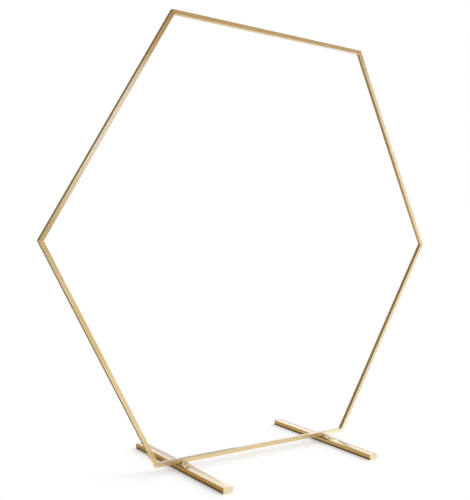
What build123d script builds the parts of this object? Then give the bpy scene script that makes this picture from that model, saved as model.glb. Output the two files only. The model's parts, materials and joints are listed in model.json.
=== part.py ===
from build123d import *

import os
from math import cos, pi, radians, sin, tan

# Hexagonal backdrop stand: a ring of square steel tube, upright on two flat cross feet.
#
# Six rails plug onto six mitred corner pieces, with holes behind for small locking screws.
# A plate is welded under the bottom rail above each foot and bolted to the foot in front.
#
# The origin is on the floor under the middle of the ring. +X runs to the right along the
# bottom rail, +Y to the back and +Z up. Millimetres.

# Hexagonal ring
ring_height = 2000.0  # across the flats, outside to outside
tube_size = 20.0
tube_wall = 1.5
tube_edge_radius = 2.0
corner_leg = 48.0  # from where the tube centrelines meet to the end of a corner piece

# Plugs on the corner pieces, inside the rails
plug_length = 40.0
plug_root = 15.0  # held inside the corner piece
plug_wall = 1.5
plug_clearance = 0.15

# Holes for locking screws, through the rear of the rails into the plugs
screw_setback = 20.0  # from the end of the rail
screw_diameter = 5.0

# Cross feet, of flat rectangular tube
foot_spacing = 880.0
foot_length = 720.0
foot_width = 50.0
foot_height = 25.0
foot_wall = 1.5
foot_edge_radius = 2.0

# Caps in the ends of the feet
cap_thickness = 2.5
cap_bevel = 0.6
cap_plug_depth = 14.0
cap_plug_wall = 2.0

# Mounting plates between the bottom rail and the feet, as wide as the feet
plate_thickness = 4.0
plate_reach = 56.0  # in front of the rail
plate_corner_radius = 1.5
weld_leg = 3.0
weld_end_distance = 3.0

# Flanged bolts, into a nut bar inside each foot
bolt_diameter = 8.0
bolt_reach = 16.0  # below the head
bolt_head_flats = 13.0
bolt_head_height = 8.0  # with its flange
bolt_head_bevel = 0.6
bolt_flange_diameter = 17.0
bolt_flange_thickness = 1.8
bolt_spacing = 33.0
bolt_end_distance = 11.0  # from the plate's front edge to the nearer bolt
nut_bar_width = 24.0
nut_bar_thickness = 6.0
nut_bar_end_distance = 12.0  # from a bolt to the bar's nearer end

# Clearances, all on the radius or on each side
screw_clearance = 0.25
thread_clearance = 0.1
bolt_clearance = 0.4

# What follows from them
side_count = 6
turn = 360.0 / side_count
centreline_apothem = (ring_height - tube_size) / 2
centreline_side = 2 * centreline_apothem * tan(pi / side_count)
centreline_corner = centreline_apothem / cos(pi / side_count)
rail_length = centreline_side - 2 * corner_leg
tube_bore = tube_size - 2 * tube_wall
plug_size = tube_bore - 2 * plug_clearance
plug_bore = plug_size - 2 * plug_wall
rail_front = -tube_size / 2
rail_rear = tube_size / 2
plate_top = foot_height + plate_thickness
plate_front = rail_front - plate_reach
ring_centre = Vector(0, 0, plate_top + ring_height / 2)
bolt_ys = (plate_front + bolt_end_distance, plate_front + bolt_end_distance + bolt_spacing)


def finish(name, piece):
    """Labels a finished piece and writes it to its own file."""
    piece.part.label = name
    export_step(piece.part, f"parts/{name}.step")


def heading(angle):
    """The outward and the along direction of the ring's side at an angle up from +X."""
    outward = Vector(cos(radians(angle)), 0, sin(radians(angle)))
    along = Vector(-sin(radians(angle)), 0, cos(radians(angle)))
    return outward, along


def rail_end(angle, side):
    """A plane at one end of a rail, on its centreline and facing out of the rail."""
    outward, along = heading(angle)
    end = ring_centre + outward * centreline_apothem + along * (side * rail_length / 2)
    return Plane(end, x_dir=outward, z_dir=along * side)


def screw_seat(end):
    """A plane on the rear of a rail, facing back, where the screw near this end goes in."""
    place = end.offset(-screw_setback).origin
    return Plane(place + Vector(0, rail_rear, 0), x_dir=(1, 0, 0), z_dir=(0, 1, 0))


def rail(angle):
    """A straight tube of the ring, with a screw hole near each end."""
    ends = (rail_end(angle, -1), rail_end(angle, 1))
    with BuildPart() as tube:
        with BuildSketch(ends[1]):
            RectangleRounded(tube_size, tube_size, tube_edge_radius)
            Rectangle(tube_bore, tube_bore, mode=Mode.SUBTRACT)
        extrude(amount=-rail_length)
        for end in ends:
            with BuildSketch(screw_seat(end)):
                Circle(screw_diameter / 2 + screw_clearance)
            extrude(amount=-tube_wall, mode=Mode.SUBTRACT)
    return tube


def corner(angle):
    """A corner piece: two mitred legs, each with a plug that goes into a rail."""
    vertex = ring_centre + heading(angle)[0] * centreline_corner
    mouths = (rail_end(angle - turn / 2, 1), rail_end(angle + turn / 2, -1))
    with BuildPart() as elbow:
        with BuildLine():
            Polyline(mouths[0].origin, vertex, mouths[1].origin)
        with BuildSketch(mouths[0]):
            RectangleRounded(tube_size, tube_size, tube_edge_radius)
            Rectangle(tube_bore, tube_bore, mode=Mode.SUBTRACT)
        sweep(transition=Transition.RIGHT)
        for mouth in mouths:
            with BuildSketch(mouth):
                Rectangle(tube_bore, tube_bore)
            extrude(amount=plug_root)
            with BuildSketch(mouth):
                Rectangle(plug_size, plug_size)
            extrude(amount=-plug_length)
            with BuildSketch(mouth.offset(-plug_length)):
                Rectangle(plug_bore, plug_bore)
            extrude(amount=plug_length + plug_root, mode=Mode.SUBTRACT)
            with BuildSketch(screw_seat(mouth)):
                Circle(screw_diameter / 2 + thread_clearance)
            extrude(amount=-tube_size / 2, mode=Mode.SUBTRACT)
    return elbow


def foot(x):
    """A cross foot: flat rectangular tube along Y, with two bolt holes in its top."""
    with BuildPart() as tube:
        with BuildSketch(Plane((x, 0, foot_height / 2), x_dir=(1, 0, 0), z_dir=(0, 1, 0))):
            RectangleRounded(foot_width, foot_height, foot_edge_radius)
            Rectangle(foot_width - 2 * foot_wall, foot_height - 2 * foot_wall, mode=Mode.SUBTRACT)
        extrude(amount=foot_length / 2 - cap_thickness, both=True)
        with BuildSketch(Plane.XY.offset(foot_height)):
            with Locations(*[(x, y) for y in bolt_ys]):
                Circle(bolt_diameter / 2 + bolt_clearance)
        extrude(amount=-foot_wall, mode=Mode.SUBTRACT)
    return tube


def foot_cap(x, facing):
    """The end of a foot: a plate with the tube's outline and a hollow plug behind it."""
    mouth_y = facing * (foot_length / 2 - cap_thickness)
    mouth = Plane((x, mouth_y, foot_height / 2), x_dir=(1, 0, 0), z_dir=(0, facing, 0))
    plug_width = foot_width - 2 * (foot_wall + plug_clearance)
    plug_height = foot_height - 2 * (foot_wall + plug_clearance)
    with BuildPart() as cap:
        with BuildSketch(mouth):
            RectangleRounded(foot_width, foot_height, foot_edge_radius)
        extrude(amount=cap_thickness)
        outer_face = cap.faces().sort_by(Axis(mouth.origin, mouth.z_dir))[-1]
        chamfer(outer_face.edges(), cap_bevel)
        with BuildSketch(mouth):
            Rectangle(plug_width, plug_height)
            offset(amount=-cap_plug_wall, mode=Mode.SUBTRACT)
        extrude(amount=-cap_plug_depth)
    return cap


def mounting_plate(x):
    """A flat plate with two bolt holes, and the weld along the front of the bottom rail."""
    with BuildPart() as plate:
        with BuildSketch(Plane.XY.offset(foot_height)):
            with Locations((x, (plate_front + rail_rear) / 2)):
                Rectangle(foot_width, rail_rear - plate_front)
            with Locations(*[(x, y) for y in bolt_ys]):
                Circle(bolt_diameter / 2 + bolt_clearance, mode=Mode.SUBTRACT)
        extrude(amount=plate_thickness)
        front_corners = plate.edges().filter_by(Axis.Z).group_by(Axis.Y)[0]
        fillet(front_corners, plate_corner_radius)
        with BuildSketch(Plane.YZ.offset(x)):
            with BuildLine():
                Polyline(
                    (rail_front, plate_top),
                    (rail_front - weld_leg, plate_top),
                    (rail_front, plate_top + weld_leg),
                    close=True,
                )
            make_face()
        extrude(amount=foot_width / 2 - weld_end_distance, both=True)
    return plate


def bolt(x, y):
    """A hexagon bolt with a flange under its head."""
    with BuildPart() as screw:
        with BuildSketch(Plane((x, y, plate_top))):
            RegularPolygon(bolt_head_flats / 2, 6, major_radius=False)
        extrude(amount=bolt_head_height)
        chamfer(screw.edges().group_by(Axis.Z)[-1], bolt_head_bevel)
        with BuildSketch(Plane((x, y, plate_top))):
            Circle(bolt_flange_diameter / 2)
        extrude(amount=bolt_flange_thickness)
        with BuildSketch(Plane((x, y, plate_top))):
            Circle(bolt_diameter / 2)
        extrude(amount=-bolt_reach)
    return screw


def nut_bar(x):
    """A flat bar inside a foot, under its top wall, tapped for the two bolts."""
    with BuildPart() as bar:
        with BuildSketch(Plane.XY.offset(foot_height - foot_wall)):
            with Locations((x, sum(bolt_ys) / 2)):
                Rectangle(nut_bar_width, bolt_spacing + 2 * nut_bar_end_distance)
            with Locations(*[(x, y) for y in bolt_ys]):
                Circle(bolt_diameter / 2 + thread_clearance, mode=Mode.SUBTRACT)
        extrude(amount=-nut_bar_thickness)
    return bar


# Counterclockwise from the right, as seen from the front
rails = (
    "upper_right_rail",
    "top_rail",
    "upper_left_rail",
    "lower_left_rail",
    "bottom_rail",
    "lower_right_rail",
)
corners = (
    "right_corner",
    "top_right_corner",
    "top_left_corner",
    "left_corner",
    "bottom_left_corner",
    "bottom_right_corner",
)

os.makedirs("parts", exist_ok=True)

for place in range(side_count):
    finish(rails[place], rail((place + 0.5) * turn))
    finish(corners[place], corner(place * turn))

for hand, foot_x in (("left", -foot_spacing / 2), ("right", foot_spacing / 2)):
    finish(f"{hand}_foot", foot(foot_x))
    finish(f"{hand}_foot_front_cap", foot_cap(foot_x, -1))
    finish(f"{hand}_foot_rear_cap", foot_cap(foot_x, 1))
    finish(f"{hand}_foot_nut_bar", nut_bar(foot_x))
    finish(f"{hand}_mounting_plate", mounting_plate(foot_x))
    for order, bolt_y in zip(("front", "rear"), bolt_ys):
        finish(f"{hand}_{order}_bolt", bolt(foot_x, bolt_y))
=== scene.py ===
import json
from math import cos, pi, radians, sin, sqrt, tan

import bmesh
import bpy
from mathutils import Matrix, Vector


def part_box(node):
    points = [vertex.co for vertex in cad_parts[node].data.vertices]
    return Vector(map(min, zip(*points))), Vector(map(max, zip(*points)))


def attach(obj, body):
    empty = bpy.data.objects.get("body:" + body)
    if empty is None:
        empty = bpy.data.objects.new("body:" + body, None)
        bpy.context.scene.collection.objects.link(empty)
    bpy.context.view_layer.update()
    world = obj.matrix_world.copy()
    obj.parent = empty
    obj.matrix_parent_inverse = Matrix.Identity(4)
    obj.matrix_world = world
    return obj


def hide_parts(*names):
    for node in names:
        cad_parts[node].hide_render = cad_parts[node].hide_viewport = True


# Hexagonal backdrop stand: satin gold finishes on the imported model, with threaded flanged
# bolts, locking screws and weld beads, in a plain white studio. In metres.

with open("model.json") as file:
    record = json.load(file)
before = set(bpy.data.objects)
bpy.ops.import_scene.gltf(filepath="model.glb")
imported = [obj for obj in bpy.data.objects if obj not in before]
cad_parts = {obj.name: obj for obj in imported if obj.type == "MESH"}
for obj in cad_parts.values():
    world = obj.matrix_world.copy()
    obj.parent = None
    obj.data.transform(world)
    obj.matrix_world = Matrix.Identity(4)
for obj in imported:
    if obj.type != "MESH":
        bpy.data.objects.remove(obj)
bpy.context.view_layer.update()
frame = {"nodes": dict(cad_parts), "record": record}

# The photograph's frame and the camera that it was taken with, with its angles in degrees
IMAGE_LONG_SIDE = 500  # in pixels
FOCAL_LENGTH = 782.3  # in pixels
SENSOR = 36.0  # in millimetres, along the long side
CAMERA_PLACE = Vector((-2.394, -2.898, 1.181))
CAMERA_HEADING = 37.35  # to the right of +Y
CAMERA_PITCH = -2.94
CAMERA_ROLL = 2.36

# Floor and light, with angles in degrees
FLOOR_SIZE = 400.0
FLOOR_ALBEDO = 0.9
FLOOR_GLOW = 0.19  # what camera, glossy and transmission rays see besides the lit floor
DOME_LEVEL = 0.58  # the studio's soft light
KEY_LEVEL = 0.64  # the level of a white surface that faces the key light
KEY_ELEVATION = 33.0
KEY_HEADING = 96.0  # to the right of +Y
KEY_SPREAD = 76.0

# Colours of the studio, and sizes of the cards on the floor and beside the feet
WHITE = (1, 1, 1, 1)
WARM = (1.0, 0.82, 0.52, 1)
AMBER = (1.0, 0.70, 0.34, 1)
ORANGE = (1.0, 0.50, 0.10, 1)
COOL = (0.88, 0.96, 1.20, 1)
GREY = (0.66, 0.78, 1.10, 1)
PALE_BLUE = (0.97, 1.0, 1.16, 1)
LIGHT_BLUE = (0.88, 1.0, 1.40, 1)
CLEAR_BLUE = (0.80, 1.0, 1.45, 1)
FLOOR_CARD_HEIGHT = 0.0004
STRIP_GAP = 0.005  # between a foot and the strips beside it
STRIP_BOTTOM = 0.0002
STRIP_SPLIT = 0.0072  # between the lower, dark strip and the upper one
STRIP_TOP = 0.0225
LOW_STRIP_LEVEL = 0.04  # of light

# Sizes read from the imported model
rail_low, rail_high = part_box("bottom_rail")
foot_low, foot_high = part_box("right_foot")
plate_low, plate_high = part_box("right_mounting_plate")
ring_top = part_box("top_rail")[1].z
TUBE = rail_high.z - rail_low.z
RAIL_LENGTH = rail_high.x - rail_low.x
RAIL_FRONT = rail_low.y
RAIL_REAR = rail_high.y
PLATE_TOP = rail_low.z
PLATE_MIDDLE = (plate_low.y + plate_high.y) / 2
PLATE_HALF_DEPTH = (plate_high.y - plate_low.y) / 2
FOOT_MIDDLE = (foot_low.x + foot_high.x) / 2
FOOT_HALF_WIDTH = (foot_high.x - foot_low.x) / 2
FOOT_HEIGHT = foot_high.z - foot_low.z
FOOT_END = foot_high.y
RING_CENTRE = Vector((0, 0, (PLATE_TOP + ring_top) / 2))
APOTHEM = (ring_top - PLATE_TOP - TUBE) / 2
SIDES = 6
TURN = 2 * pi / SIDES

# Bolts and screws
SEGMENTS = 36  # round a bolt or a screw
SMOOTH_ANGLE = 32.0  # a sharper edge, in degrees, stays sharp
THREAD_DEPTH = 0.61  # of the pitch
THREAD_RINGS = 8  # to a pitch
THREAD_FLANK = 1.35  # how steeply the thread falls from its crest to its root
THREAD_CREST = 0.2  # how much of that fall the flat crest takes

# Flanged bolts, as in the part's source
HEAD_FLATS = 0.013
HEAD_HEIGHT = 0.008
HEAD_TOP = 0.94  # the flat top, as a share of the flats
HEAD_BEVEL_ANGLE = 30.0
DISH_RIM = 0.66  # a share of that top, as is the next
DISH_FLOOR = 0.58
DISH_DEPTH = 0.0003
FLANGE_DIAMETER = 0.017
FLANGE_BEVEL = 0.0003
SHANK_FILLET = 0.0003
FLANGE_SIDE_TOP = 0.0010
FLANGE_SLOPE_TOP = 0.0021
HEAD_FILLET = 0.0004
HEAD_FILLET_TOP = 0.0026
BOLT_DIAMETER = 0.008
BOLT_PITCH = 0.00125
BOLT_REACH = 0.016

# Locking screws behind the ends of the rails
SCREW_SETBACK = 0.020
SCREW_DIAMETER = 0.005
SCREW_PITCH = 0.0008
SCREW_REACH = 0.008
SCREW_HEAD_DIAMETER = 0.0095
SCREW_HEAD_HEIGHT = 0.00275
SCREW_HEAD_BEVEL = 0.0002
SCREW_HEAD_LIP = 0.0004  # the straight part of its side
SCREW_DOME_STEPS = 8
SCREW_DOME_STEEPNESS = 0.999  # 1 would start it upright
SOCKET_FLATS = 0.003
SOCKET_RIM = 1.28  # of the flats
SOCKET_BEVEL = 0.0002
SOCKET_DEPTH = 0.0016
SOCKET_POINT = 0.0003  # the drill's mark in the socket's floor
SOCKET_POINT_WIDTH = 0.4  # of the flats
SCREW_FIRST_TURN = 1.0  # how far the first side's screws are done up, in radians
SCREW_NEXT_TURN = 0.4  # and how much further each next side's

# Weld beads between the bottom rail and the mounting plates
WELD_LEG = 0.0042
WELD_LENGTH = 0.0460
WELD_STATION = 0.0002
WELD_ARC_STEPS = 14
WELD_END = 0.12  # of the leg, at the very ends
WELD_CROWN = 0.22  # of the leg
WELD_BODY = 0.97  # of its size, in the valleys between ripples
WELD_RIPPLE = 0.0024
WELD_RIPPLE_HEIGHT = 0.035
WELD_RIPPLE_SHAPE = 0.8  # below 1 the crowns are wide and the valleys narrow
WELD_RIPPLE_LAG = 0.42  # of the leg, at the bead's edges
WELD_ROOT_DEPTH = 0.4  # of the leg, into the rail
WELD_ROOT_HEIGHT = 0.3
REAR_WELD_LEG = 0.55  # of the front one
REAR_WELD_LENGTH = 0.9
REAR_WELD_INSET = 0.0016  # from the rail's rear, into its rounded edge


def add_object(name, data, place):
    """Puts a new object with this data in the scene."""
    made = bpy.data.objects.new(name, data)
    bpy.context.scene.collection.objects.link(made)
    made.matrix_world = place
    return made


def make_camera():
    """The camera at the photograph's viewing angle."""
    data = bpy.data.cameras.new("camera")
    data.sensor_width = SENSOR
    data.lens = FOCAL_LENGTH / IMAGE_LONG_SIDE * SENSOR
    turn = Matrix.Rotation(radians(-CAMERA_HEADING), 4, "Z")
    tilt = Matrix.Rotation(radians(90 + CAMERA_PITCH), 4, "X")
    roll = Matrix.Rotation(radians(CAMERA_ROLL), 4, "Z")
    place = Matrix.Translation(CAMERA_PLACE) @ turn @ tilt @ roll
    bpy.context.scene.camera = add_object("camera", data, place)


# Node trees

def new_tree(name):
    """A material with an empty node tree and its output node."""
    material = bpy.data.materials.new(name)
    material.use_nodes = True
    tree = material.node_tree
    tree.nodes.clear()
    tree.nodes.new("ShaderNodeOutputMaterial")
    return material, tree


def finish_tree(tree, shader):
    """Links a shader to the tree's output."""
    output = next(n for n in tree.nodes if n.type == "OUTPUT_MATERIAL")
    tree.links.new(shader.outputs[0], output.inputs["Surface"])


def feed(tree, target, value):
    """Links a socket to an input, or sets the input to a plain value."""
    if isinstance(value, bpy.types.NodeSocket):
        tree.links.new(value, target)
    else:
        target.default_value = value


def node(tree, kind, inputs=None, **settings):
    """Adds a node. Its inputs are sockets to link or plain values, by name or number."""
    made = tree.nodes.new("ShaderNode" + kind)
    for name, value in settings.items():
        setattr(made, name, value)
    for key, value in (inputs or {}).items():
        feed(tree, made.inputs[key], value)
    return made


def calc(tree, operation, a, b=0.0, c=0.0):
    """The result of a Math node."""
    return node(tree, "Math", {0: a, 1: b, 2: c}, operation=operation).outputs[0]


def vector_calc(tree, operation, a, b, result="Vector"):
    """The result of a Vector Math node."""
    return node(tree, "VectorMath", {0: a, 1: b}, operation=operation).outputs[result]


def split(tree, vector):
    """The three coordinates of a vector."""
    outputs = node(tree, "SeparateXYZ", {0: vector}).outputs
    return [outputs[axis] for axis in "XYZ"]


def join(tree, x, y, z):
    """A vector of three coordinates."""
    return node(tree, "CombineXYZ", {0: x, 1: y, 2: z}).outputs[0]


def position(tree):
    """The place on an object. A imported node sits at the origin, so there it is the model's frame."""
    return node(tree, "TexCoord").outputs["Object"]


def face_normal(tree):
    """The surface's normal."""
    return node(tree, "NewGeometry").outputs["Normal"]


def ramp(tree, value, low, high, out_low=0.0, out_high=1.0):
    """A smooth step of a value from one level to another."""
    inputs = {"Value": value, "From Min": low, "From Max": high, "To Min": out_low, "To Max": out_high}
    return node(tree, "MapRange", inputs, interpolation_type="SMOOTHSTEP").outputs[0]


def blended(tree, first, second, share):
    """The first value times its share, plus the second times the rest."""
    return calc(tree, "MULTIPLY_ADD", first, share, calc(tree, "MULTIPLY", second, 1 - share))


def varied(tree, base, value, amount):
    """A base that a value from 0 to 1 moves by up to half an amount to either side."""
    lowest = calc(tree, "SUBTRACT", base, amount / 2)
    return calc(tree, "MULTIPLY_ADD", value, amount, lowest)


def noise(tree, vector, scale, detail=2.0, roughness=0.5, stretch=(1, 1, 1)):
    """Noise from 0 to 1. stretch multiplies its scale along each axis."""
    scaled = vector_calc(tree, "MULTIPLY", vector, stretch)
    inputs = {"Vector": scaled, "Scale": scale, "Detail": detail, "Roughness": roughness}
    return node(tree, "TexNoise", inputs).outputs["Fac"]


def mix_colour(tree, factor, first, second):
    """A mix of two colours: all of the second where the factor is 1."""
    mixer = node(tree, "Mix", data_type="RGBA")
    inputs = {socket.identifier: socket for socket in mixer.inputs}
    outputs = {socket.identifier: socket for socket in mixer.outputs}
    feed(tree, inputs["Factor_Float"], factor)
    feed(tree, inputs["A_Color"], first)
    feed(tree, inputs["B_Color"], second)
    return outputs["Result_Color"]


def bump(tree, height, strength, distance, normal=None):
    """A normal bent by a height, from the surface's own or from one that is given."""
    inputs = {"Height": height, "Strength": strength, "Distance": distance}
    if normal is not None:
        inputs["Normal"] = normal
    return node(tree, "Bump", inputs).outputs[0]


def coated(tree, colour, roughness, normal, coat, metallic=1.0, others=None):
    """A shader with a clear coat: coat is its weight, IOR and roughness, others more inputs."""
    coat_weight, coat_ior, coat_roughness = coat
    inputs = {
        "Base Color": colour,
        "Metallic": metallic,
        "Roughness": roughness,
        "Normal": normal,
        "Coat Weight": coat_weight,
        "Coat IOR": coat_ior,
        "Coat Roughness": coat_roughness,
    }
    return node(tree, "BsdfPrincipled", {**inputs, **(others or {})})


# Gold finish

GOLD = (0.79, 0.58, 0.25, 1)
GOLD_DEEP = (0.68, 0.49, 0.19, 1)
GOLD_PALE = (0.90, 0.76, 0.48, 1)
TUBE_GOLDS = (GOLD, GOLD_DEEP, GOLD_PALE)
PLATE_GOLDS = ((0.86, 0.68, 0.40, 1), (0.78, 0.60, 0.31, 1), (0.94, 0.84, 0.62, 1))
# the dark of joints, also used for painted shade on the feet and the plates' sides
SEAM_AND_SHADE = (0.04, 0.015, 0.005, 1)
ROUGHNESS = 0.40
COAT_IOR = 2.1
COAT_ROUGHNESS = 0.10
FINE_GRAIN = (5200, 5200, 45)  # how fine to a metre, across the grain and along it
COARSE_GRAIN = (900, 900, 9)
GRAIN_SHIFT = 0.37  # between the grain of one side of the ring and the next
RING_BRUSHING = 0.8
FOOT_BRUSHING = 0.3
FOOT_CROWN = 0.0013  # how high the middle of a foot's top seems in what it mirrors
EDGE_WEAR_START = 0.0028  # from the outside of a tube
EDGE_WEAR_FULL = 0.0010
HAIRLINE = 0.00018
MITRE_HAIRLINE = 0.00025
MITRE_DARKNESS = 0.35
CONTACT_SHADE_FULL = 0.0022  # up to this height a foot has full painted shade along the floor
CONTACT_SHADE_END = 0.0075  # and from this one it has none
CONTACT_SHADE_DARKNESS = 0.70
GROOVE_SHADE_START = 0.0034  # below a foot's top, where painted shade starts on its rounded edge under the plate
GROOVE_SHADE_FULL = 0.0014
GROOVE_SHADE_DARKNESS = 0.9
GROOVE_SHADE_INSET = 0.0010  # inside the plate's ends, where the groove's painted shade starts to fade
GROOVE_SHADE_OUTSET = 0.0002  # beyond them, where it is gone
CUT_SHADE_FADE = 0.0032  # above the foot, where the painted shade on the plate's cut sides starts to pale
CUT_SHADE_PALER = 0.8  # what is left of its darkness at the top


def gold_shader(tree, place, edges, darkening, brushed=None, golds=TUBE_GOLDS, crown=None):
    """Satin gold: fine grain along one direction, with a clear coat.

    place is a position whose third coordinate runs along the grain, edges is 1 on worn edges
    and darkening is 1 on dark joints and where shade is painted. brushed holds the settings
    of a brushed shine, golds are the colour, its deeper tone and its worn tone, and crown is
    the normal of a crowned face.
    """
    fine = noise(tree, place, scale=1.0, roughness=0.6, stretch=FINE_GRAIN)
    coarse = noise(tree, place, scale=1.0, stretch=COARSE_GRAIN)
    cloud = noise(tree, place, scale=7.0, detail=3.0, roughness=0.55)
    peel = noise(tree, place, scale=620.0)
    grain = blended(tree, fine, coarse, share=0.6)

    main, deep, pale = golds
    tone = blended(tree, cloud, grain, share=0.6)
    colour = mix_colour(tree, ramp(tree, tone, low=0.3, high=0.7, out_high=0.35), main, deep)
    wear = ramp(tree, cloud, low=0.35, high=0.7, out_low=0.25, out_high=0.8)
    colour = mix_colour(tree, calc(tree, "MULTIPLY", edges, wear), colour, pale)
    # dark joints, and painted shade where the feet and the plates pass it in
    colour = mix_colour(tree, darkening, colour, SEAM_AND_SHADE)

    roughness = varied(tree, ROUGHNESS, grain, amount=0.10)
    roughness = varied(tree, roughness, cloud, amount=0.08)
    roughness = calc(tree, "MULTIPLY_ADD", darkening, 0.3, roughness)

    height = blended(tree, grain, peel, share=0.3)
    height = calc(tree, "MULTIPLY_ADD", darkening, -4.0, height)
    normal = bump(tree, height, strength=0.6, distance=0.00006, normal=crown)
    coat_normal = bump(tree, peel, strength=0.25, distance=0.00003, normal=crown)
    coat_weight = calc(tree, "MULTIPLY_ADD", darkening, -0.9, 1.0)
    coat = (coat_weight, COAT_IOR, COAT_ROUGHNESS)
    others = {"Coat Normal": coat_normal, **(brushed or {})}
    return coated(tree, colour, roughness, normal, coat, others=others)


def brushed_along(tree, direction, strength):
    """A shine that spreads across the grain, on every face of a tube."""
    across = vector_calc(tree, "CROSS_PRODUCT", face_normal(tree), direction)
    return {"Anisotropic": strength, "Tangent": across}


def tube_edges(tree, u, v, half_u, half_v):
    """1 on the rounded edges of a tube, from the two coordinates in its section."""
    def near_side(coordinate, half):
        distance = calc(tree, "ABSOLUTE", coordinate)
        return ramp(tree, distance, half - EDGE_WEAR_START, half - EDGE_WEAR_FULL)

    return calc(tree, "MULTIPLY", near_side(u, half_u), near_side(v, half_v))


def hairline(tree, coordinate, place, width=HAIRLINE):
    """1 where a coordinate, without its sign, is at a joint."""
    offset = calc(tree, "SUBTRACT", calc(tree, "ABSOLUTE", coordinate), place)
    distance = calc(tree, "ABSOLUTE", offset)
    return ramp(tree, distance, width / 2, width * 1.5, out_low=1.0, out_high=0.0)


def ring_seams(tree, outward, along):
    """1 where a rail meets a corner piece, and less on the mitres."""
    joints = hairline(tree, along, RAIL_LENGTH / 2)
    to_mitre = calc(tree, "MULTIPLY", outward, tan(TURN / 2))
    off_mitre = calc(tree, "SUBTRACT", calc(tree, "ABSOLUTE", along), to_mitre)
    mitre = hairline(tree, off_mitre, 0.0, MITRE_HAIRLINE)
    return calc(tree, "MAXIMUM", joints, calc(tree, "MULTIPLY", mitre, MITRE_DARKNESS))


def ring_material():
    """The ring's gold: on each of its sides the grain follows the side."""
    material, tree = new_tree("ring_gold")
    centred = vector_calc(tree, "SUBTRACT", position(tree), RING_CENTRE)
    x, _, z = split(tree, centred)
    sector = calc(tree, "FLOOR", calc(tree, "DIVIDE", calc(tree, "ARCTAN2", z, x), TURN))
    middle = calc(tree, "MULTIPLY", calc(tree, "ADD", sector, 0.5), TURN)
    rotation = {"Vector": centred, "Angle": middle}
    turned = node(tree, "VectorRotate", rotation, rotation_type="Y_AXIS").outputs[0]
    outward, y, along = split(tree, turned)
    shift = join(tree, calc(tree, "MULTIPLY", sector, GRAIN_SHIFT), 0.0, 0.0)
    grain_place = vector_calc(tree, "ADD", turned, shift)

    direction_x = calc(tree, "MULTIPLY", calc(tree, "SINE", middle), -1.0)
    direction = join(tree, direction_x, 0.0, calc(tree, "COSINE", middle))
    brushed = brushed_along(tree, direction, RING_BRUSHING)
    edges = tube_edges(tree, calc(tree, "SUBTRACT", outward, APOTHEM), y, TUBE / 2, TUBE / 2)
    darkening = ring_seams(tree, outward, along)
    finish_tree(tree, gold_shader(tree, grain_place, edges, darkening, brushed))
    return material


def feet_joints_and_shade(tree, y, z):
    """1 at the caps' joints, and less where shade is painted along the floor and in the groove beneath a
    plate.
    """
    joints = hairline(tree, y, FOOT_END)
    # painted shade along the floor, where the foot's contact shadow falls
    contact_shade = ramp(tree, z, CONTACT_SHADE_FULL, CONTACT_SHADE_END, out_low=CONTACT_SHADE_DARKNESS, out_high=0.0)
    # painted shade in the groove under each plate, on the foot's rounded top edge
    off_plate = calc(tree, "ABSOLUTE", calc(tree, "SUBTRACT", y, PLATE_MIDDLE))
    plate_edge = (PLATE_HALF_DEPTH - GROOVE_SHADE_INSET, PLATE_HALF_DEPTH + GROOVE_SHADE_OUTSET)
    below_plate = ramp(tree, off_plate, *plate_edge, out_low=1.0, out_high=0.0)
    shoulder = ramp(
        tree, z, FOOT_HEIGHT - GROOVE_SHADE_START, FOOT_HEIGHT - GROOVE_SHADE_FULL, out_high=GROOVE_SHADE_DARKNESS
    )
    groove_shade = calc(tree, "MULTIPLY", below_plate, shoulder)
    return calc(tree, "MAXIMUM", joints, calc(tree, "MAXIMUM", contact_shade, groove_shade))


def feet_crown(tree, from_middle):
    """The normal of a face that is a little higher in its middle than at its sides."""
    share = calc(tree, "DIVIDE", from_middle, FOOT_HALF_WIDTH)
    bulge = calc(tree, "MULTIPLY", calc(tree, "MULTIPLY", share, share), -1.0)
    return bump(tree, bulge, strength=1.0, distance=FOOT_CROWN)


def feet_material():
    """The feet's gold, with the grain from front to back."""
    material, tree = new_tree("feet_gold")
    x, y, z = split(tree, position(tree))
    grain_place = join(tree, x, z, y)
    from_middle = calc(tree, "SUBTRACT", calc(tree, "ABSOLUTE", x), FOOT_MIDDLE)
    from_mid_height = calc(tree, "SUBTRACT", z, FOOT_HEIGHT / 2)
    edges = tube_edges(tree, from_middle, from_mid_height, FOOT_HALF_WIDTH, FOOT_HEIGHT / 2)
    darkening = feet_joints_and_shade(tree, y, z)
    brushed = brushed_along(tree, (0, 1, 0), FOOT_BRUSHING)
    crown = feet_crown(tree, from_middle)
    finish_tree(tree, gold_shader(tree, grain_place, edges, darkening, brushed, crown=crown))
    return material


def edge_mask(tree, radius):
    """1 on sharp edges, from how far the normal of a rounded copy turns away."""
    rounded = node(tree, "Bevel", {"Radius": radius}, samples=6).outputs[0]
    same = vector_calc(tree, "DOT_PRODUCT", rounded, face_normal(tree), "Value")
    return ramp(tree, same, low=0.995, high=0.93)


def plate_material():
    """The plates' gold: rolled on the faces, with dark, uneven painted shade on the cut sides that face
    left and right.
    """
    material, tree = new_tree("plate_gold")
    place = position(tree)
    x, y, z = split(tree, place)
    grain_place = join(tree, z, y, x)
    sideways = calc(tree, "ABSOLUTE", split(tree, face_normal(tree))[0])
    uneven = noise(tree, place, scale=240.0, detail=3.0, roughness=0.6)
    scale = ramp(tree, uneven, low=0.3, high=0.7, out_low=0.8)
    fade = ramp(tree, z, FOOT_HEIGHT + CUT_SHADE_FADE, PLATE_TOP, out_low=1.0, out_high=CUT_SHADE_PALER)
    side = ramp(tree, sideways, low=0.5, high=0.95)
    # painted shade on the plate's left and right cut sides, uneven and paler towards the top
    cut = calc(tree, "MULTIPLY", side, calc(tree, "MULTIPLY", scale, fade))
    edges = edge_mask(tree, radius=0.0006)
    finish_tree(tree, gold_shader(tree, grain_place, edges, cut, golds=PLATE_GOLDS))
    return material


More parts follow.
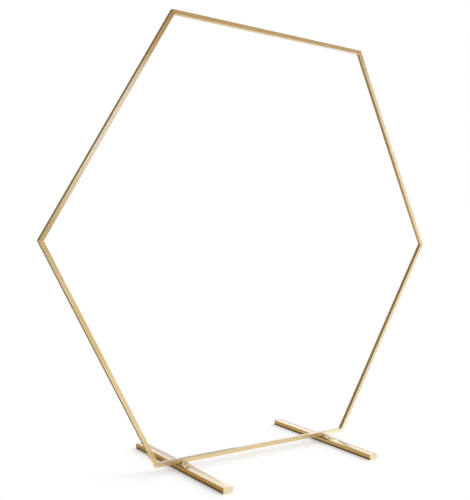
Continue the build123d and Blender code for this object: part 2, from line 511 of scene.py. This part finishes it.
def weld_material():
    """The weld's gold: rougher and darker than the tubes', paler on the crowns of its ripples."""
    material, tree = new_tree("weld_gold")
    place = position(tree)
    grain = noise(tree, place, scale=2400.0, detail=3.0, roughness=0.6)
    cloud = noise(tree, place, scale=110.0)
    colour = mix_colour(tree, ramp(tree, cloud, low=0.3, high=0.7, out_high=0.7), GOLD, GOLD_DEEP)
    crest = node(tree, "NewGeometry").outputs["Pointiness"]
    colour = mix_colour(tree, ramp(tree, crest, low=0.5, high=0.56, out_high=0.5), colour, GOLD_PALE)
    roughness = calc(tree, "MULTIPLY_ADD", grain, 0.16, ROUGHNESS)
    normal = bump(tree, grain, strength=0.5, distance=0.00008)
    coat = (1.0, 1.7, 0.2)
    finish_tree(tree, coated(tree, colour, roughness, normal, coat))
    return material


# Other finishes

CAP_GOLD = (0.92, 0.79, 0.52, 1)
CAP_DEEP = (0.85, 0.71, 0.43, 1)
CAP_PALE = (0.94, 0.84, 0.62, 1)
PLATING = (0.98, 0.93, 0.80, 1)
PLATING_DULL = (0.94, 0.86, 0.68, 1)
PLATING_WORN = (0.99, 0.97, 0.90, 1)
STEEL = (0.62, 0.61, 0.58, 1)
STEEL_DULL = (0.48, 0.47, 0.44, 1)
STEEL_WORN = (0.78, 0.77, 0.75, 1)


def cap_material():
    """Gold moulded plastic with a fine grained surface."""
    material, tree = new_tree("cap_plastic")
    place = position(tree)
    grain = noise(tree, place, scale=2600.0, detail=3.0, roughness=0.6)
    cloud = noise(tree, place, scale=40.0)
    colour = mix_colour(tree, ramp(tree, cloud, low=0.3, high=0.7, out_high=0.5), CAP_GOLD, CAP_DEEP)
    wear = calc(tree, "MULTIPLY", edge_mask(tree, radius=0.0005), 0.5)
    colour = mix_colour(tree, wear, colour, CAP_PALE)
    roughness = calc(tree, "MULTIPLY_ADD", grain, 0.16, 0.36)
    normal = bump(tree, grain, strength=0.4, distance=0.00006)
    coat = (0.6, 1.8, 0.25)
    finish_tree(tree, coated(tree, colour, roughness, normal, coat, metallic=0.6))
    return material


def plated_material(name, bright, dull, worn):
    """Plated steel: smooth, with faint clouding and paler worn edges."""
    material, tree = new_tree(name)
    place = position(tree)
    cloud = noise(tree, place, scale=260.0, detail=3.0, roughness=0.6)
    fine = noise(tree, place, scale=4200.0, roughness=0.6)
    colour = mix_colour(tree, ramp(tree, cloud, low=0.35, high=0.7), bright, dull)
    wear = calc(tree, "MULTIPLY", edge_mask(tree, radius=0.0003), 0.7)
    colour = mix_colour(tree, wear, colour, worn)
    roughness = calc(tree, "MULTIPLY_ADD", cloud, 0.14, 0.16)
    normal = bump(tree, fine, strength=0.2, distance=0.00003)
    coat = (0.4, 1.7, 0.12)
    finish_tree(tree, coated(tree, colour, roughness, normal, coat))
    return material


# Pieces

def solid_of_rings(name, rings, material):
    """A closed mesh through rings of points, closed at both ends round a middle point."""
    mesh = bmesh.new()
    rows = [[mesh.verts.new(point) for point in ring] for ring in rings]
    for low, high in zip(rows, rows[1:]):
        for here in range(len(low)):
            after = (here + 1) % len(low)
            mesh.faces.new((low[here], low[after], high[after], high[here]))
    for row, flip in ((rows[0], True), (rows[-1], False)):
        middle = mesh.verts.new(sum((v.co for v in row), Vector()) / len(row))
        for here in range(len(row)):
            pair = (row[here], row[(here + 1) % len(row)])
            mesh.faces.new((middle, *(reversed(pair) if flip else pair)))
    data = bpy.data.meshes.new(name)
    mesh.to_mesh(data)
    mesh.free()
    data.shade_smooth()
    data.set_sharp_from_angle(angle=radians(SMOOTH_ANGLE))
    data.materials.append(material)
    return data


def circle(radius, height):
    """A ring of points round +Z. Radius and height are numbers or functions of the angle."""
    points = []
    for step in range(SEGMENTS):
        angle = 2 * pi * step / SEGMENTS
        r = radius(angle) if callable(radius) else radius
        z = height(angle) if callable(height) else height
        points.append(Vector((r * cos(angle), r * sin(angle), z)))
    return points


def hexagon(flats):
    """The radius of a hexagon at an angle, with a corner at angle 0."""
    return lambda angle: flats / 2 / cos(angle % TURN - TURN / 2)


def thread(diameter, pitch, reach):
    """Rings of a threaded shank, from its bevelled tip up to just under the head."""
    depth = THREAD_DEPTH * pitch
    steps = round(reach / pitch * THREAD_RINGS)

    def radius(z):
        def at(angle):
            wave = abs(2 * ((z / pitch - angle / (2 * pi)) % 1) - 1)
            cut = depth * min(1, max(0, THREAD_FLANK * wave - THREAD_CREST))
            tip = diameter / 2 - depth + (z + reach)
            return min(diameter / 2 - cut, tip)
        return at

    heights = [-reach + reach * step / steps for step in range(steps)]
    return [circle(radius(z), z) for z in heights]


def flanged_bolt_mesh(material):
    """A hexagon bolt with a sloping flange, a bevelled and dished head and a threaded shank."""
    side = hexagon(HEAD_FLATS)
    top = HEAD_TOP * HEAD_FLATS / 2
    flange = FLANGE_DIAMETER / 2
    shank = BOLT_DIAMETER / 2
    bevel_slope = tan(radians(HEAD_BEVEL_ANGLE))
    rings = thread(BOLT_DIAMETER, BOLT_PITCH, BOLT_REACH)
    rings += [
        circle(shank, -SHANK_FILLET),
        circle(shank + SHANK_FILLET, 0),
        circle(flange - FLANGE_BEVEL, 0),
        circle(flange, FLANGE_BEVEL),
        circle(flange, FLANGE_SIDE_TOP),
        circle(flange - FLANGE_BEVEL, FLANGE_SIDE_TOP + FLANGE_BEVEL),
        circle(lambda angle: side(angle) + HEAD_FILLET, FLANGE_SLOPE_TOP),
        circle(side, HEAD_FILLET_TOP),
        circle(side, lambda angle: HEAD_HEIGHT - (side(angle) - top) * bevel_slope),
        circle(top, HEAD_HEIGHT),
        circle(DISH_RIM * top, HEAD_HEIGHT),
        circle(DISH_FLOOR * top, HEAD_HEIGHT - DISH_DEPTH),
    ]
    return solid_of_rings("flanged_bolt", rings, material)


def locking_screw_mesh(material):
    """A button-head screw with a hexagon socket."""
    radius = SCREW_HEAD_DIAMETER / 2
    socket = hexagon(SOCKET_FLATS)
    rim = SOCKET_FLATS / 2 * SOCKET_RIM
    dome_height = SCREW_HEAD_HEIGHT - SCREW_HEAD_LIP
    socket_floor = SCREW_HEAD_HEIGHT - SOCKET_DEPTH
    rings = thread(SCREW_DIAMETER, SCREW_PITCH, SCREW_REACH)
    rings += [
        circle(SCREW_DIAMETER / 2, -SCREW_HEAD_BEVEL),
        circle(radius - SCREW_HEAD_BEVEL, 0),
        circle(radius, SCREW_HEAD_BEVEL),
    ]
    for step in range(SCREW_DOME_STEPS + 1):
        share = step / SCREW_DOME_STEPS
        rise = sqrt(1 - (1 - share) ** 2 * SCREW_DOME_STEEPNESS)
        rings.append(circle(radius + (rim - radius) * share, SCREW_HEAD_LIP + dome_height * rise))
    rings += [
        circle(socket, SCREW_HEAD_HEIGHT - SOCKET_BEVEL),
        circle(socket, socket_floor),
        circle(SOCKET_POINT_WIDTH * SOCKET_FLATS / 2, socket_floor - SOCKET_POINT),
    ]
    return solid_of_rings("locking_screw", rings, material)


def weld_section(x, leg, length):
    """A ring of points round a weld bead at x, the last of them at its root in the rail."""
    to_end = min(1, (length / 2 - abs(x)) / leg)
    taper = WELD_END + (1 - WELD_END) * sqrt(to_end * (2 - to_end))
    slow_wave = 0.05 * sin(190 * x + 1.1)
    quick_wave = 0.03 * sin(470 * x)
    wander = 1 + slow_wave + quick_wave
    ring = []
    for step in range(WELD_ARC_STEPS + 1):
        angle = pi / 2 * step / WELD_ARC_STEPS
        lag = WELD_RIPPLE_LAG * leg * (1 - sin(2 * angle))
        ripple = abs(sin(pi * (x + lag) / WELD_RIPPLE)) ** WELD_RIPPLE_SHAPE
        flat = leg / (cos(angle) + sin(angle))
        crown = 1 + WELD_CROWN * sin(2 * angle)
        reach = flat * crown * (WELD_BODY + WELD_RIPPLE_HEIGHT * ripple) * taper * wander
        ring.append(Vector((x, -reach * cos(angle), reach * sin(angle))))
    ring.append(Vector((x, WELD_ROOT_DEPTH * leg * taper, WELD_ROOT_HEIGHT * leg * taper)))
    return ring


def weld_bead_mesh(name, leg, length, material):
    """A rippled weld bead along X in a corner that opens towards -Y and +Z."""
    stations = round(length / WELD_STATION)
    places = [length * (station / stations - 0.5) for station in range(stations + 1)]
    return solid_of_rings(name, [weld_section(x, leg, length) for x in places], material)


def add_piece(name, data, place, slot, *replaced):
    """Puts a piece in place, on the stand's one body."""
    piece = add_object(name, data, place)
    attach(piece, "root")
    if replaced:
        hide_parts(*replaced)


def add_bolts(material):
    """The four flanged bolts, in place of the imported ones."""
    data = flanged_bolt_mesh(material)
    for hand in ("left", "right"):
        for order in ("front", "rear"):
            solid = f"{hand}_{order}_bolt"
            low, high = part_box(solid)
            seat = Vector(((low.x + high.x) / 2, (low.y + high.y) / 2, PLATE_TOP))
            place = Matrix.Translation(seat)
            add_piece(f"{hand}_{order}_flanged_bolt", data, place, "bolts", solid)


def add_locking_screws(material):
    """A screw in each hole behind the rails, with the sides counted from the upper right."""
    data = locking_screw_mesh(material)
    from_middle = RAIL_LENGTH / 2 - SCREW_SETBACK
    facing_back = Matrix.Rotation(-pi / 2, 4, "X")
    sides = ("upper_right", "top", "upper_left", "lower_left", "bottom", "lower_right")
    for number, side in enumerate(sides):
        angle = (number + 0.5) * TURN
        outward = Vector((cos(angle), 0, sin(angle)))
        along = Vector((-sin(angle), 0, cos(angle)))
        done_up = Matrix.Rotation(SCREW_FIRST_TURN + SCREW_NEXT_TURN * number, 4, "Z")
        for end, sign in (("first", -1), ("second", 1)):
            seat = RING_CENTRE + outward * APOTHEM + along * (sign * from_middle)
            seat.y = RAIL_REAR
            place = Matrix.Translation(seat) @ facing_back @ done_up
            add_piece(f"{side}_rail_{end}_locking_screw", data, place, "bolts")


def add_welds(material):
    """A bead in front of the bottom rail and a smaller one behind it, on each plate."""
    front = weld_bead_mesh("front_weld", WELD_LEG, WELD_LENGTH, material)
    rear = weld_bead_mesh(
        "rear_weld", REAR_WELD_LEG * WELD_LEG, REAR_WELD_LENGTH * WELD_LENGTH, material
    )
    half_turn = Matrix.Rotation(pi, 4, "Z")
    for hand in ("left", "right"):
        low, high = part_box(f"{hand}_foot")
        x = (low.x + high.x) / 2
        add_piece(f"{hand}_front_weld", front, Matrix.Translation((x, RAIL_FRONT, PLATE_TOP)), "plates")
        seat = Matrix.Translation((x, RAIL_REAR - REAR_WELD_INSET, PLATE_TOP))
        add_piece(f"{hand}_rear_weld", rear, seat @ half_turn, "plates")


def dress_nodes(finishes):
    """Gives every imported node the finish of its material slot."""
    for part in frame["record"]["subparts"]:
        materials = frame["nodes"][part["node"]].data.materials
        materials.clear()
        materials.append(finishes[part["material_slot"]])


# Studio

def rectangle_mesh(name, width, height, material):
    """A rectangle round the origin, in the XY plane."""
    data = bpy.data.meshes.new(name)
    corners = [(x * width / 2, y * height / 2, 0) for x, y in ((-1, -1), (1, -1), (1, 1), (-1, 1))]
    data.from_pydata(corners, [], [(0, 1, 2, 3)])
    data.materials.append(material)
    return data


def seen_directly(tree):
    """1 for rays from the camera, in reflections and through glass."""
    path = node(tree, "LightPath").outputs
    mirrored = calc(tree, "MAXIMUM", path["Is Glossy Ray"], path["Is Transmission Ray"])
    return calc(tree, "MAXIMUM", path["Is Camera Ray"], mirrored)


def make_floor():
    """A wide white floor that keeps the stand's shadow."""
    material, tree = new_tree("floor")
    lit = node(tree, "BsdfDiffuse", {"Color": (FLOOR_ALBEDO, FLOOR_ALBEDO, FLOOR_ALBEDO, 1)})
    glow = node(tree, "Emission", {"Strength": calc(tree, "MULTIPLY", seen_directly(tree), FLOOR_GLOW)})
    finish_tree(tree, node(tree, "AddShader", {0: lit.outputs[0], 1: glow.outputs[0]}))
    data = rectangle_mesh("floor", FLOOR_SIZE, FLOOR_SIZE, material)
    floor = add_object("floor", data, Matrix.Identity(4))


def make_world():
    """White to the eye, and a plain soft level of light."""
    world = bpy.data.worlds.new("studio")
    bpy.context.scene.world = world
    world.use_nodes = True
    tree = world.node_tree
    background = tree.nodes["Background"]
    level = ramp(tree, seen_directly(tree), low=0.0, high=1.0, out_low=DOME_LEVEL)
    feed(tree, background.inputs["Strength"], level)
    feed(tree, background.inputs["Color"], WHITE)


def make_key_light():
    """A wide soft light from the right and above, which the metal doesn't mirror."""
    data = bpy.data.lights.new("key_light", "SUN")
    data.energy = KEY_LEVEL * pi
    data.angle = radians(KEY_SPREAD)
    heading = Matrix.Rotation(radians(-KEY_HEADING), 4, "Z")
    tilt = Matrix.Rotation(radians(KEY_ELEVATION - 90), 4, "X")
    lamp = add_object("key_light", data, heading @ tilt)
    lamp.visible_glossy = False


def add_card(name, place, width, height, colour, level, one_sided=False):
    """A card that only shows in what the stand mirrors: a bright panel or a dark flag."""
    material, tree = new_tree(name)
    shader = node(tree, "Emission", {"Color": colour, "Strength": level})
    if one_sided:
        rear = node(tree, "NewGeometry").outputs["Backfacing"]
        clear = node(tree, "BsdfTransparent")
        shader = node(tree, "MixShader", {0: rear, 1: shader.outputs[0], 2: clear.outputs[0]})
    finish_tree(tree, shader)
    card = add_object(name, rectangle_mesh(name, width, height, material), place)
    card.visible_camera = False
    card.visible_shadow = False
    card.visible_diffuse = False


def make_card(name, centre, facing, size, colour, level, one_sided=False):
    """A card in the air that faces a point. Its size is its width and its height."""
    aim = (Vector(facing) - Vector(centre)).to_track_quat("Z", "Y").to_matrix().to_4x4()
    add_card(name, Matrix.Translation(centre) @ aim, *size, colour, level, one_sided)


def make_floor_card(name, low, high, colour, level):
    """A card that lies on the floor, between two corners."""
    centre = ((low[0] + high[0]) / 2, (low[1] + high[1]) / 2, FLOOR_CARD_HEIGHT)
    add_card(name, Matrix.Translation(centre), high[0] - low[0], high[1] - low[1], colour, level)


def make_front_cards():
    """Panels and flags in front and to the right, for the front faces, and a dark ceiling."""
    make_card(
        "front_panel", centre=(4.2, -4.6, 1.60), facing=(0, 0, 1.60), size=(6.0, 2.9),
        colour=PALE_BLUE, level=1.25,
    )
    make_card(
        "top_flag", centre=(4.2, -4.6, 5.05), facing=(0, 0, 5.05), size=(7.0, 4.0),
        colour=ORANGE, level=0.28,
    )
    make_card(
        "ceiling_flag", centre=(0, 0, 4.8), facing=(0, 0, 0), size=(16.0, 16.0),
        colour=WARM, level=0.25,
    )
    make_card(
        "front_left_flag", centre=(0.1, -6.6, 0.95), facing=(-1.0, 0, 0.95), size=(3.6, 1.9),
        colour=WARM, level=0.20,
    )
    make_floor_card("front_left_floor_flag", low=(-0.6, -6.0), high=(1.7, -2.2), colour=WARM, level=0.6)
    make_floor_card("front_right_panel", low=(1.8, -4.2), high=(5.2, -0.8), colour=COOL, level=1.35)
    make_card(
        "cool_panel", centre=(2.4, -6.1, 2.30), facing=(0, 0, 2.30), size=(2.0, 1.2),
        colour=CLEAR_BLUE, level=1.60,
    )
    make_floor_card("right_end_panel", low=(0.48, -0.30), high=(0.95, -0.02), colour=LIGHT_BLUE, level=1.55)
    make_floor_card("right_floor_panel", low=(0.95, -1.25), high=(1.80, -0.30), colour=COOL, level=1.30)


def make_back_cards():
    """Panels and flags behind and to the left, for the tops, the sides and the undersides."""
    make_card(
        "back_panel", centre=(3.9, 5.0, 2.35), facing=(0, 0, 2.35), size=(6.5, 2.5),
        colour=WHITE, level=1.75,
    )
    make_card(
        "back_left_grey", centre=(2.50, 5.92, 1.55), facing=(-1.40, 0.92, 1.55), size=(3.1, 1.3),
        colour=GREY, level=0.86,
    )
    make_card(
        "back_right_grey", centre=(5.30, 3.80, 1.05), facing=(1.40, -1.20, 1.05), size=(2.8, 1.0),
        colour=GREY, level=0.95,
    )
    make_card(
        "left_flag", centre=(-3.2, 3.6, 2.6), facing=(0, 0, 1.0), size=(6.5, 5.4),
        colour=WARM, level=0.22,
    )
    make_card(
        "left_high_flag", centre=(-2.45, 3.27, 4.2), facing=(0.75, -0.33, 2.6), size=(2.0, 2.0),
        colour=WARM, level=0.32,
    )
    make_floor_card("behind_flag", low=(-0.48, 0.7), high=(0.8, 3.9), colour=WARM, level=0.28)
    make_floor_card("behind_left_flag", low=(-3.6, 0.1), high=(-0.48, 3.9), colour=WARM, level=0.23)
    make_floor_card("far_flag", low=(2.5, 4.2), high=(9.5, 11.0), colour=WARM, level=0.62)


def make_foot_strips(foot, colour, level):
    """Narrow cards beside a foot's left side, a painted shadow in what that side mirrors: a dark one along
    the floor, a dimmer one above it.
    """
    low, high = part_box(foot)

    def add_strip(name, bottom, top, strength):
        centre = Vector((low.x - STRIP_GAP, (low.y + high.y) / 2, (bottom + top) / 2))
        size = (high.y - low.y, top - bottom)
        make_card(name, centre, centre + Vector((1, 0, 0)), size, colour, strength, one_sided=True)

    add_strip(foot + "_low_flag", STRIP_BOTTOM, STRIP_SPLIT, LOW_STRIP_LEVEL)
    add_strip(foot + "_flag", STRIP_SPLIT, STRIP_TOP, level)


make_camera()
make_floor()
make_world()
make_key_light()
make_front_cards()
make_back_cards()
make_foot_strips("left_foot", AMBER, level=0.52)
make_foot_strips("right_foot", WARM, level=0.62)

bolt_plating = plated_material("bolt_plating", PLATING, PLATING_DULL, PLATING_WORN)
dress_nodes({
    "ring": ring_material(),
    "feet": feet_material(),
    "plates": plate_material(),
    "caps": cap_material(),
    "bolts": bolt_plating,
    "nut_bars": plated_material("nut_bar_steel", STEEL, STEEL_DULL, STEEL_WORN),
})
add_bolts(bolt_plating)
add_locking_screws(bolt_plating)
add_welds(weld_material())

bpy.context.scene.view_settings.view_transform = "Standard"
bpy.context.view_layer.update()
